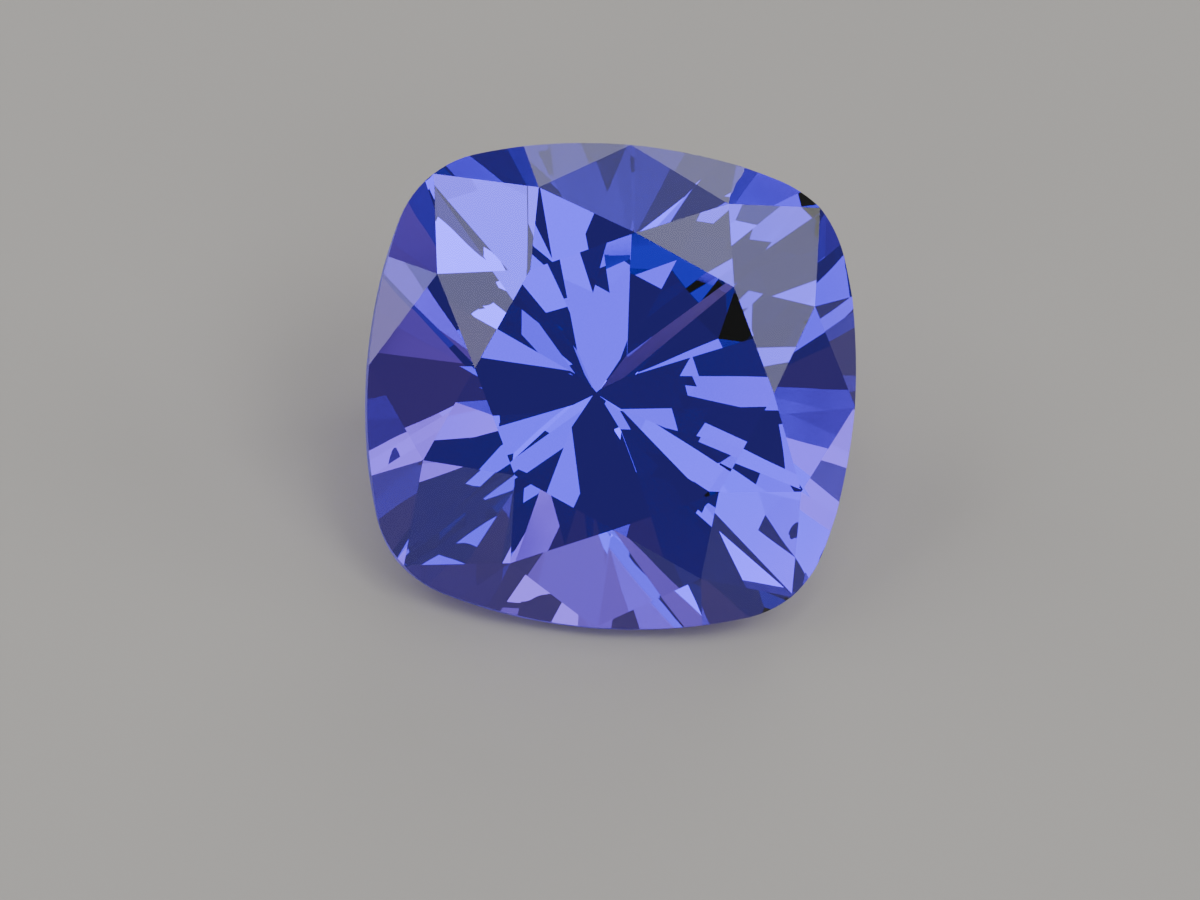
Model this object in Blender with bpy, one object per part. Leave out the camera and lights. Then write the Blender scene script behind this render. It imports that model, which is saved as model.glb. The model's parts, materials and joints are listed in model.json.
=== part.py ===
import bpy
import bmesh
import math
from mathutils import Matrix, Vector

# Cushion cut tanzanite. Lengths are in metres and angles in degrees.
# The stone is cut with its table facing +Z and the culet on the Z axis,
# then laid down on its front pavilion main, the one that faces -Y.

# Girdle outline: four bulging sides joined by four corner arcs.
HALF_LENGTH = 0.00450
HALF_WIDTH = 0.00443
SIDE_RADIUS = 0.00998
CORNER_RADIUS = 0.00195
OUTLINE_STEPS = 192
GIRDLE_THICKNESS = 0.00040

# Crown: table, eight stars, eight bezels, sixteen upper girdle facets.
SIDE_BEZEL_ANGLE = 40.0
TABLE_RATIO = 0.610
CORNER_TABLE_RATIO = 0.522
STAR_TIP_LEVEL = 0.58
UPPER_BREAK_FROM_SIDE = 25.0

# Pavilion: four side mains that meet at the culet, four corner mains that
# stop short of it, sixteen lower girdle facets. The lower girdle facets
# beside the left and right mains reach further towards the culet.
SIDE_MAIN_ANGLE = 44.4
CORNER_MAIN_AZIMUTH = 44.0
CORNER_MAIN_START = 0.015
LOWER_REACH_LEFT_RIGHT = 0.90
LOWER_REACH_FRONT_BACK = 0.84
LOWER_BREAK_FROM_SIDE = 22.5

MERGE_DISTANCE = 0.000001
PLANE_SNAP = 0.0000001
PALE_VIOLET_BLUE = (0.30, 0.32, 0.80, 1.0)


def clear_scene():
    for old_object in list(bpy.data.objects):
        bpy.data.objects.remove(old_object, do_unlink=True)


def corner_arc_centre():
    """Centre of the corner arc that touches both neighbouring side arcs."""
    side = Vector((HALF_LENGTH - SIDE_RADIUS, 0.0))
    end = Vector((0.0, HALF_WIDTH - SIDE_RADIUS))
    reach = SIDE_RADIUS - CORNER_RADIUS
    apart = end - side
    half_apart = apart.length / 2.0
    rise = math.sqrt(reach ** 2 - half_apart ** 2)
    across = Vector((-apart.y, apart.x)).normalized()
    if across.x < 0.0:
        across.negate()
    return (side + end) / 2.0 + across * rise


def ray_to_arc(direction, centre, radius):
    along = direction.dot(centre)
    return along + math.sqrt(along ** 2 - centre.length_squared + radius ** 2)


def outline_radius(azimuth):
    """Distance from the axis to the girdle outline in a direction."""
    direction = Vector((abs(math.cos(azimuth)), abs(math.sin(azimuth))))
    side = Vector((HALF_LENGTH - SIDE_RADIUS, 0.0))
    end = Vector((0.0, HALF_WIDTH - SIDE_RADIUS))
    corner = corner_arc_centre()
    side_touch = side + (corner - side).normalized() * SIDE_RADIUS
    end_touch = end + (corner - end).normalized() * SIDE_RADIUS
    angle = math.atan2(direction.y, direction.x)
    if angle <= math.atan2(side_touch.y, side_touch.x):
        return ray_to_arc(direction, side, SIDE_RADIUS)
    if angle >= math.atan2(end_touch.y, end_touch.x):
        return ray_to_arc(direction, end, SIDE_RADIUS)
    return ray_to_arc(direction, corner, CORNER_RADIUS)


def girdle_point(azimuth, height):
    radius = outline_radius(azimuth)
    return Vector((radius * math.cos(azimuth), radius * math.sin(azimuth), height))


def facet_through(first, second, third):
    """Cutting plane (point, outward normal) through three meet points."""
    normal = (second - first).cross(third - first).normalized()
    if normal.dot(first) < 0.0:
        normal.negate()
    return first.copy(), normal


def facet_at(point, azimuth, slope):
    """Cutting plane through a point, leaning by a slope from the girdle plane."""
    lean = math.radians(slope)
    normal = Vector((
        math.cos(azimuth) * math.sin(abs(lean)),
        math.sin(azimuth) * math.sin(abs(lean)),
        math.copysign(math.cos(lean), slope),
    ))
    return point.copy(), normal


def point_on_ridge(first, second, height):
    """Point at a height on the ridge where two facets meet."""
    (point_a, normal_a) = first
    (point_b, normal_b) = second
    system = Matrix((normal_a, normal_b, (0.0, 0.0, 1.0)))
    levels = Vector((normal_a.dot(point_a), normal_b.dot(point_b), height))
    return system.inverted() @ levels


def main_azimuths(corner=45.0):
    """Directions of the four sides and, between them, the four corners."""
    degrees = []
    for side in range(4):
        degrees.append(90.0 * side)
        degrees.append(90.0 * side + (90.0 - corner if side % 2 else corner))
    return [math.radians(value) for value in degrees]


def break_azimuths(from_side):
    """Directions where two girdle facets meet, an angle off each side's middle."""
    degrees = []
    for side in range(4):
        degrees.append(90.0 * side + from_side)
        degrees.append(90.0 * (side + 1) - from_side)
    return [math.radians(value) for value in degrees]


def crown_facets():
    girdle = GIRDLE_THICKNESS / 2.0
    rise = HALF_LENGTH * (1.0 - TABLE_RATIO) * math.tan(math.radians(SIDE_BEZEL_ANGLE))
    table_height = girdle + rise
    bezels = []
    table_corners = []
    girdle_tips = []
    for index, azimuth in enumerate(main_azimuths()):
        radius = outline_radius(azimuth)
        ratio = CORNER_TABLE_RATIO if index % 2 else TABLE_RATIO
        inner = radius * ratio
        slope = math.degrees(math.atan2(rise, radius - inner))
        tip = girdle_point(azimuth, girdle)
        bezels.append(facet_at(tip, azimuth, slope))
        girdle_tips.append(tip)
        table_corners.append(Vector((
            inner * math.cos(azimuth),
            inner * math.sin(azimuth),
            table_height,
        )))
    stars = []
    upper_girdles = []
    star_level = girdle + rise * STAR_TIP_LEVEL
    for index, break_azimuth in enumerate(break_azimuths(UPPER_BREAK_FROM_SIDE)):
        following = (index + 1) % 8
        star_tip = point_on_ridge(bezels[index], bezels[following], star_level)
        girdle_break = girdle_point(break_azimuth, girdle)
        stars.append(facet_through(
            table_corners[index], table_corners[following], star_tip))
        upper_girdles.append(facet_through(girdle_tips[index], star_tip, girdle_break))
        upper_girdles.append(facet_through(girdle_tips[following], star_tip, girdle_break))
    table = (Vector((0.0, 0.0, table_height)), Vector((0.0, 0.0, 1.0)))
    return [table] + bezels + stars + upper_girdles


def pavilion_facets():
    girdle = -GIRDLE_THICKNESS / 2.0
    depth = HALF_WIDTH * math.tan(math.radians(SIDE_MAIN_ANGLE))
    culet = Vector((0.0, 0.0, girdle - depth))
    azimuths = main_azimuths(CORNER_MAIN_AZIMUTH)
    mains = []
    girdle_tips = [girdle_point(azimuth, girdle) for azimuth in azimuths]
    for index in range(0, 8, 2):
        slope = math.degrees(math.atan2(depth, outline_radius(azimuths[index])))
        mains.append(facet_at(girdle_tips[index], azimuths[index], -slope))
    corner_mains = []
    for index in range(4):
        level = culet.z + depth * CORNER_MAIN_START
        start = point_on_ridge(mains[index], mains[(index + 1) % 4], level)
        tip = girdle_tips[2 * index + 1]
        run = math.hypot(tip.x, tip.y) - math.hypot(start.x, start.y)
        slope = math.degrees(math.atan2(tip.z - start.z, run))
        corner_mains.append(facet_at(tip, azimuths[2 * index + 1], -slope))
    ring = []
    for index in range(4):
        ring.append(mains[index])
        ring.append(corner_mains[index])
    lower_girdles = []
    for index, break_azimuth in enumerate(break_azimuths(LOWER_BREAK_FROM_SIDE)):
        following = (index + 1) % 8
        beside_left_or_right = index % 4 in (0, 3)
        share = LOWER_REACH_LEFT_RIGHT if beside_left_or_right else LOWER_REACH_FRONT_BACK
        reach = point_on_ridge(ring[index], ring[following], girdle - depth * share)
        girdle_break = girdle_point(break_azimuth, girdle)
        lower_girdles.append(facet_through(girdle_tips[index], reach, girdle_break))
        lower_girdles.append(facet_through(girdle_tips[following], reach, girdle_break))
    return ring + lower_girdles, mains[3]


def cushion_blank(mesh, bottom, top):
    """Straight-sided preform with the girdle outline."""
    rim = []
    for step in range(OUTLINE_STEPS):
        azimuth = 2.0 * math.pi * step / OUTLINE_STEPS
        rim.append(mesh.verts.new(girdle_point(azimuth, bottom)))
    floor = mesh.faces.new(rim)
    raised = bmesh.ops.extrude_face_region(mesh, geom=[floor])
    moved = [item for item in raised["geom"] if isinstance(item, bmesh.types.BMVert)]
    bmesh.ops.translate(mesh, verts=moved, vec=Vector((0.0, 0.0, top - bottom)))
    bmesh.ops.recalc_face_normals(mesh, faces=mesh.faces)


def cut_facet(mesh, facet):
    (point, normal) = facet
    geometry = list(mesh.verts) + list(mesh.edges) + list(mesh.faces)
    result = bmesh.ops.bisect_plane(
        mesh,
        geom=geometry,
        dist=PLANE_SNAP,
        plane_co=point,
        plane_no=normal,
        clear_outer=True,
        clear_inner=False,
    )
    cut_edges = [item for item in result["geom_cut"] if isinstance(item, bmesh.types.BMEdge)]
    bmesh.ops.edgeloop_fill(mesh, edges=cut_edges)


def build_stone():
    mesh = bmesh.new()
    cushion_blank(mesh, -2.0 * HALF_LENGTH, 2.0 * HALF_LENGTH)
    (lower_facets, rest_facet) = pavilion_facets()
    for facet in crown_facets() + lower_facets:
        cut_facet(mesh, facet)
    bmesh.ops.remove_doubles(mesh, verts=mesh.verts, dist=MERGE_DISTANCE)
    bmesh.ops.recalc_face_normals(mesh, faces=mesh.faces)

    lay_down = rest_facet[1].rotation_difference(Vector((0.0, 0.0, -1.0)))
    bmesh.ops.rotate(mesh, verts=mesh.verts, matrix=lay_down.to_matrix())
    low = [min(vert.co[axis] for vert in mesh.verts) for axis in range(3)]
    high = [max(vert.co[axis] for vert in mesh.verts) for axis in range(3)]
    shift = Vector((-(low[0] + high[0]) / 2.0, -(low[1] + high[1]) / 2.0, -low[2]))
    bmesh.ops.translate(mesh, verts=mesh.verts, vec=shift)

    data = bpy.data.meshes.new("tanzanite")
    mesh.to_mesh(data)
    mesh.free()
    return bpy.data.objects.new("tanzanite", data)


def stone_material():
    material = bpy.data.materials.new("tanzanite_crystal")
    material.use_nodes = True
    shader = material.node_tree.nodes["Principled BSDF"]
    shader.inputs["Base Color"].default_value = PALE_VIOLET_BLUE
    shader.inputs["Roughness"].default_value = 0.02
    shader.inputs["IOR"].default_value = 1.69
    shader.inputs["Transmission Weight"].default_value = 1.0
    return material


def main():
    clear_scene()
    collection = bpy.data.collections.new("cushion_cut_tanzanite")
    bpy.context.scene.collection.children.link(collection)
    stone = build_stone()
    stone.data.materials.append(stone_material())
    collection.objects.link(stone)


main()
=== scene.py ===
import json
import math

import bpy
from mathutils import Matrix, Vector


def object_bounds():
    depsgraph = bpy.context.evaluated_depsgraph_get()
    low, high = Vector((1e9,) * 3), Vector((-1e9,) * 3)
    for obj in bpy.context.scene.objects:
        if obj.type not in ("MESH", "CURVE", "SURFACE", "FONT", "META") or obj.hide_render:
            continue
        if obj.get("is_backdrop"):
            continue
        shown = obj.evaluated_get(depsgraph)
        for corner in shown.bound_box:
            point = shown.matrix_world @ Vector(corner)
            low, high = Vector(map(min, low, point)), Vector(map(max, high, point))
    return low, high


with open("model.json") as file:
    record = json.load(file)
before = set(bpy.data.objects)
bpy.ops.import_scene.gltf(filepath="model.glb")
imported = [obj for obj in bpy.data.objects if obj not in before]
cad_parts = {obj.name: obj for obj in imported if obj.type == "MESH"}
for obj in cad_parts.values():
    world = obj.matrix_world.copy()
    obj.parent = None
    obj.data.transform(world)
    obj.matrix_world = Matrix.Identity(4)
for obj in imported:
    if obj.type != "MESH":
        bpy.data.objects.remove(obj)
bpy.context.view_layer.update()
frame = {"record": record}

MILLIMETRE = 0.001

# Crystal: the refractive index of tanzanite, and the tint and density of the
# volume absorption that gives its depth of colour. Lengths are in metres, and
# each noise scale in this script is in cells per metre.
REFRACTIVE_INDEX = 1.694
ABSORPTION_TINT = (0.37, 0.03, 0.99, 1.0)
ABSORPTION_DENSITY = 340.0

# Colour drift from blue to violet, between a low and a high noise value.
DRIFT_SCALE = 260.0
DRIFT_DETAIL = 2.0
DRIFT_LOW = 0.38
DRIFT_HIGH = 0.62
BLUE_SIDE = (0.93, 0.95, 1.0, 1.0)
VIOLET_SIDE = (0.99, 0.89, 1.0, 1.0)

# Facets: mirror smooth, and very slightly wavy from the polish.
FACET_ROUGHNESS = 0.0
WAVE_SCALE = 500.0
WAVE_DETAIL = 0.0
WAVE_STRENGTH = 1.0
WAVE_HEIGHT = 0.000006

# Girdle: the ground band whose faces stand square to the table. It is found by
# the cosine between a face's normal and the table's normal. The depth is that
# of the girdle's middle under the table.
GIRDLE_DEPTH = 1.67 * MILLIMETRE
GIRDLE_COSINE_FULL = 0.02
GIRDLE_COSINE_NONE = 0.06
GIRDLE_COLOUR = (0.62, 0.66, 0.92, 1.0)
GIRDLE_GRAIN_SCALE = 9000.0
GIRDLE_GRAIN_DETAIL = 3.0
GIRDLE_ROUGHNESS_LOW = 0.30
GIRDLE_ROUGHNESS_HIGH = 0.45

# Camera: near the line of sight along the table's normal, a little to the
# left of it and a little lower, in degrees. The sensor is in millimetres.
VIEW_LEFT = 8.0
VIEW_BELOW = 3.5
CAMERA_ROLL = 4.3
CAMERA_DISTANCE = 0.16
CAMERA_CLIP_START = 0.001
SENSOR_WIDTH = 36.0

# Where the photo has the stone, in pixels from its top left corner.
PICTURE_WIDTH_PIXELS = 1200.0
PICTURE_HEIGHT_PIXELS = 900.0
STONE_WIDTH_PIXELS = 492.0
STONE_CENTRE_PIXELS = (611.4, 386.3)

# Soft boxes: azimuth and elevation seen from the stone, width and height, all
# in degrees, and brightness. Azimuth 0 is +X and 90 is +Y, away from the
# camera. Most of them follow a scratch fit to the photo, merged and rounded to
# five degrees. The three named for the camera were added in directions that
# light bright facets of the star in a ray trace.
LIGHT_DISTANCE = 0.55
SOFT_BOXES = {
    "low_front_left": (-140.0, 15.0, 10.0, 15.0, 4.5),
    "low_front": (-110.0, 10.0, 15.0, 15.0, 6.0),
    "low_front_right": (-80.0, 15.0, 25.0, 15.0, 2.0),
    "below_camera": (-85.0, 35.0, 20.0, 10.0, 2.5),
    "beside_camera": (-65.0, 40.0, 10.0, 10.0, 2.5),
    "beside_camera_low": (-55.0, 30.0, 10.0, 10.0, 2.5),
    "overhead_right": (-50.0, 60.0, 30.0, 25.0, 3.0),
    "overhead_left": (-115.0, 65.0, 15.0, 25.0, 2.5),
    "shoulder_left": (-150.0, 45.0, 15.0, 10.0, 3.0),
    "overhead_spot": (-15.0, 85.0, 15.0, 10.0, 3.5),
    "window_left": (180.0, 45.0, 30.0, 30.0, 2.0),
    "window_left_low": (170.0, 15.0, 25.0, 15.0, 2.0),
    "window_right": (5.0, 35.0, 25.0, 25.0, 2.0),
    "window_back": (75.0, 25.0, 30.0, 30.0, 2.0),
    "back_spot": (20.0, 65.0, 10.0, 10.0, 2.5),
    "ceiling_back": (90.0, 55.0, 45.0, 25.0, 0.6),
}
DAYLIGHT_COLOUR = (0.96, 0.97, 1.0)
ROOM_COLOUR = (0.97, 0.98, 1.0, 1.0)
ROOM_STRENGTH = 0.16

# Floor: a pale matt sheet with a fine grain. The gap of air keeps it out of
# the plane of the facet that rests on it, which would turn dark otherwise.
FLOOR_SIZE = 1.6
FLOOR_GAP = 0.00002
FLOOR_COLOUR = (0.48, 0.457, 0.42, 1.0)
FLOOR_ROUGHNESS = 0.9
FLOOR_GRAIN_SCALE = 900.0
FLOOR_GRAIN_DETAIL = 4.0
FLOOR_GRAIN_STRENGTH = 0.15
FLOOR_GRAIN_HEIGHT = 0.0001


def mount_named(name):
    for mount in frame["record"]["mounts"]:
        if mount["name"] == name:
            return mount
    raise ValueError("the record has no mount " + name)


TABLE_NORMAL = Vector(mount_named("table")["axis"]).normalized()
TABLE_CENTRE = Vector(mount_named("table")["pos_m"])
GIRDLE_CENTRE = TABLE_CENTRE - TABLE_NORMAL * GIRDLE_DEPTH


def new_material(name):
    material = bpy.data.materials.new(name)
    material.use_nodes = True
    return material, material.node_tree, material.node_tree.nodes["Principled BSDF"]


def add_noise(tree, place, scale, detail):
    noise = tree.nodes.new("ShaderNodeTexNoise")
    noise.inputs["Scale"].default_value = scale
    noise.inputs["Detail"].default_value = detail
    tree.links.new(place.outputs["Object"], noise.inputs["Vector"])
    return noise


def add_bump(tree, shader, noise, strength, height):
    bump = tree.nodes.new("ShaderNodeBump")
    bump.inputs["Strength"].default_value = strength
    bump.inputs["Distance"].default_value = height
    tree.links.new(noise.outputs["Fac"], bump.inputs["Height"])
    tree.links.new(bump.outputs["Normal"], shader.inputs["Normal"])


def add_girdle_mask(tree):
    """Mask that is one on the girdle and zero on the facets."""
    geometry = tree.nodes.new("ShaderNodeNewGeometry")
    cosine = tree.nodes.new("ShaderNodeVectorMath")
    cosine.operation = "DOT_PRODUCT"
    cosine.inputs[1].default_value = TABLE_NORMAL
    tree.links.new(geometry.outputs["True Normal"], cosine.inputs[0])
    size_of_cosine = tree.nodes.new("ShaderNodeMath")
    size_of_cosine.operation = "ABSOLUTE"
    tree.links.new(cosine.outputs["Value"], size_of_cosine.inputs[0])
    mask = tree.nodes.new("ShaderNodeMapRange")
    mask.inputs["From Min"].default_value = GIRDLE_COSINE_FULL
    mask.inputs["From Max"].default_value = GIRDLE_COSINE_NONE
    mask.inputs["To Min"].default_value = 1.0
    mask.inputs["To Max"].default_value = 0.0
    tree.links.new(size_of_cosine.outputs[0], mask.inputs["Value"])
    return mask


def add_colour(tree, shader, place, girdle_mask):
    """Colour that drifts between blue and violet, with a tint of its own on the girdle."""
    drift = add_noise(tree, place, DRIFT_SCALE, DRIFT_DETAIL)
    drift_colour = tree.nodes.new("ShaderNodeValToRGB")
    (blue, violet) = drift_colour.color_ramp.elements
    blue.position = DRIFT_LOW
    blue.color = BLUE_SIDE
    violet.position = DRIFT_HIGH
    violet.color = VIOLET_SIDE
    tree.links.new(drift.outputs["Fac"], drift_colour.inputs["Fac"])
    colour = tree.nodes.new("ShaderNodeMix")
    colour.data_type = "RGBA"
    colour.inputs["B"].default_value = GIRDLE_COLOUR
    tree.links.new(girdle_mask.outputs["Result"], colour.inputs["Factor"])
    tree.links.new(drift_colour.outputs["Color"], colour.inputs["A"])
    tree.links.new(colour.outputs["Result"], shader.inputs["Base Color"])


def add_polish(tree, shader, place, girdle_mask):
    """Mirror smooth facets, and a fine ground grain on the girdle."""
    grain = add_noise(tree, place, GIRDLE_GRAIN_SCALE, GIRDLE_GRAIN_DETAIL)
    ground = tree.nodes.new("ShaderNodeMapRange")
    ground.inputs["To Min"].default_value = GIRDLE_ROUGHNESS_LOW
    ground.inputs["To Max"].default_value = GIRDLE_ROUGHNESS_HIGH
    tree.links.new(grain.outputs["Fac"], ground.inputs["Value"])
    roughness = tree.nodes.new("ShaderNodeMix")
    roughness.data_type = "FLOAT"
    roughness.inputs["A"].default_value = FACET_ROUGHNESS
    tree.links.new(girdle_mask.outputs["Result"], roughness.inputs["Factor"])
    tree.links.new(ground.outputs["Result"], roughness.inputs["B"])
    tree.links.new(roughness.outputs["Result"], shader.inputs["Roughness"])


def add_absorption(tree):
    """Light is tinted along its way through the stone."""
    absorption = tree.nodes.new("ShaderNodeVolumeAbsorption")
    absorption.inputs["Color"].default_value = ABSORPTION_TINT
    absorption.inputs["Density"].default_value = ABSORPTION_DENSITY
    material_output = tree.nodes["Material Output"]
    tree.links.new(absorption.outputs["Volume"], material_output.inputs["Volume"])


def crystal_material():
    """Clear violet-blue crystal with polished facets and a ground girdle."""
    (material, tree, shader) = new_material("tanzanite_crystal")
    shader.inputs["Transmission Weight"].default_value = 1.0
    shader.inputs["IOR"].default_value = REFRACTIVE_INDEX
    place = tree.nodes.new("ShaderNodeTexCoord")
    girdle_mask = add_girdle_mask(tree)
    add_colour(tree, shader, place, girdle_mask)
    add_polish(tree, shader, place, girdle_mask)
    wave = add_noise(tree, place, WAVE_SCALE, WAVE_DETAIL)
    add_bump(tree, shader, wave, WAVE_STRENGTH, WAVE_HEIGHT)
    add_absorption(tree)
    return material


def floor_material():
    """Plain pale matt surface with a faint fine grain."""
    (material, tree, shader) = new_material("pale_floor")
    place = tree.nodes.new("ShaderNodeTexCoord")
    grain = add_noise(tree, place, FLOOR_GRAIN_SCALE, FLOOR_GRAIN_DETAIL)
    add_bump(tree, shader, grain, FLOOR_GRAIN_STRENGTH, FLOOR_GRAIN_HEIGHT)
    shader.inputs["Base Color"].default_value = FLOOR_COLOUR
    shader.inputs["Roughness"].default_value = FLOOR_ROUGHNESS
    return material


def dress_stone():
    stone = bpy.data.objects["tanzanite"]
    material = crystal_material()
    for slot in stone.material_slots:
        slot.material = material


def add_floor():
    bpy.ops.mesh.primitive_plane_add(size=FLOOR_SIZE, location=(0.0, 0.0, -FLOOR_GAP))
    floor = bpy.context.object
    floor.name = "floor"
    floor.data.materials.append(floor_material())
    floor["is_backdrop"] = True


def add_room_light():
    world = bpy.data.worlds.new("room")
    world.use_nodes = True
    background = world.node_tree.nodes["Background"]
    background.inputs["Color"].default_value = ROOM_COLOUR
    background.inputs["Strength"].default_value = ROOM_STRENGTH
    bpy.context.scene.world = world


def direction_from(azimuth, elevation):
    turn = math.radians(azimuth)
    rise = math.radians(elevation)
    return Vector((
        math.cos(rise) * math.cos(turn),
        math.cos(rise) * math.sin(turn),
        math.sin(rise),
    ))


def box_side(angle):
    """Side of a soft box that spans an angle, as seen from the stone."""
    return 2.0 * LIGHT_DISTANCE * math.tan(math.radians(angle / 2.0))


def add_soft_box(name, azimuth, elevation, width, height, brightness):
    light = bpy.data.lights.new(name, "AREA")
    light.shape = "RECTANGLE"
    light.size = box_side(width)
    light.size_y = box_side(height)
    light.energy = brightness * math.pi * light.size * light.size_y
    light.color = DAYLIGHT_COLOUR
    lamp = bpy.data.objects.new(name, light)
    bpy.context.scene.collection.objects.link(lamp)
    away = direction_from(azimuth, elevation)
    lamp.location = GIRDLE_CENTRE + away * LIGHT_DISTANCE
    lamp.rotation_euler = (-away).to_track_quat("-Z", "Y").to_euler()


def camera_direction_and_turn():
    """Direction from the stone to the camera, and the camera's rotation with its roll."""
    up = Vector((0.0, 0.0, 1.0))
    table_right = up.cross(TABLE_NORMAL).normalized()
    table_up = TABLE_NORMAL.cross(table_right).normalized()
    towards = TABLE_NORMAL
    towards = towards - table_right * math.tan(math.radians(VIEW_LEFT))
    towards = towards - table_up * math.tan(math.radians(VIEW_BELOW))
    towards.normalize()
    right = table_up.cross(towards).normalized()
    over = towards.cross(right).normalized()
    turn = Matrix((right, over, towards)).transposed().to_4x4()
    return towards, turn @ Matrix.Rotation(math.radians(CAMERA_ROLL), 4, "Z")


def camera_aim(turn, metres_per_pixel):
    """Point in the middle of the picture when the stone is where the photo has it."""
    shift_right = (PICTURE_WIDTH_PIXELS / 2.0 - STONE_CENTRE_PIXELS[0]) * metres_per_pixel
    shift_up = (STONE_CENTRE_PIXELS[1] - PICTURE_HEIGHT_PIXELS / 2.0) * metres_per_pixel
    camera_right = turn.to_3x3() @ Vector((1.0, 0.0, 0.0))
    camera_up = turn.to_3x3() @ Vector((0.0, 1.0, 0.0))
    return GIRDLE_CENTRE + camera_right * shift_right + camera_up * shift_up


def add_camera():
    (towards, turn) = camera_direction_and_turn()
    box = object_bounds()
    stone_width = box[1][0] - box[0][0]
    metres_per_pixel = stone_width / STONE_WIDTH_PIXELS
    aim = camera_aim(turn, metres_per_pixel)

    camera = bpy.data.cameras.new("camera")
    camera.sensor_width = SENSOR_WIDTH
    camera.lens = SENSOR_WIDTH * CAMERA_DISTANCE / (metres_per_pixel * PICTURE_WIDTH_PIXELS)
    camera.clip_start = CAMERA_CLIP_START
    eye = bpy.data.objects.new("camera", camera)
    bpy.context.scene.collection.objects.link(eye)
    eye.matrix_world = Matrix.Translation(aim + towards * CAMERA_DISTANCE) @ turn
    bpy.context.scene.camera = eye


dress_stone()
add_floor()
add_room_light()
for box_name, placing in SOFT_BOXES.items():
    add_soft_box(box_name, *placing)
add_camera()
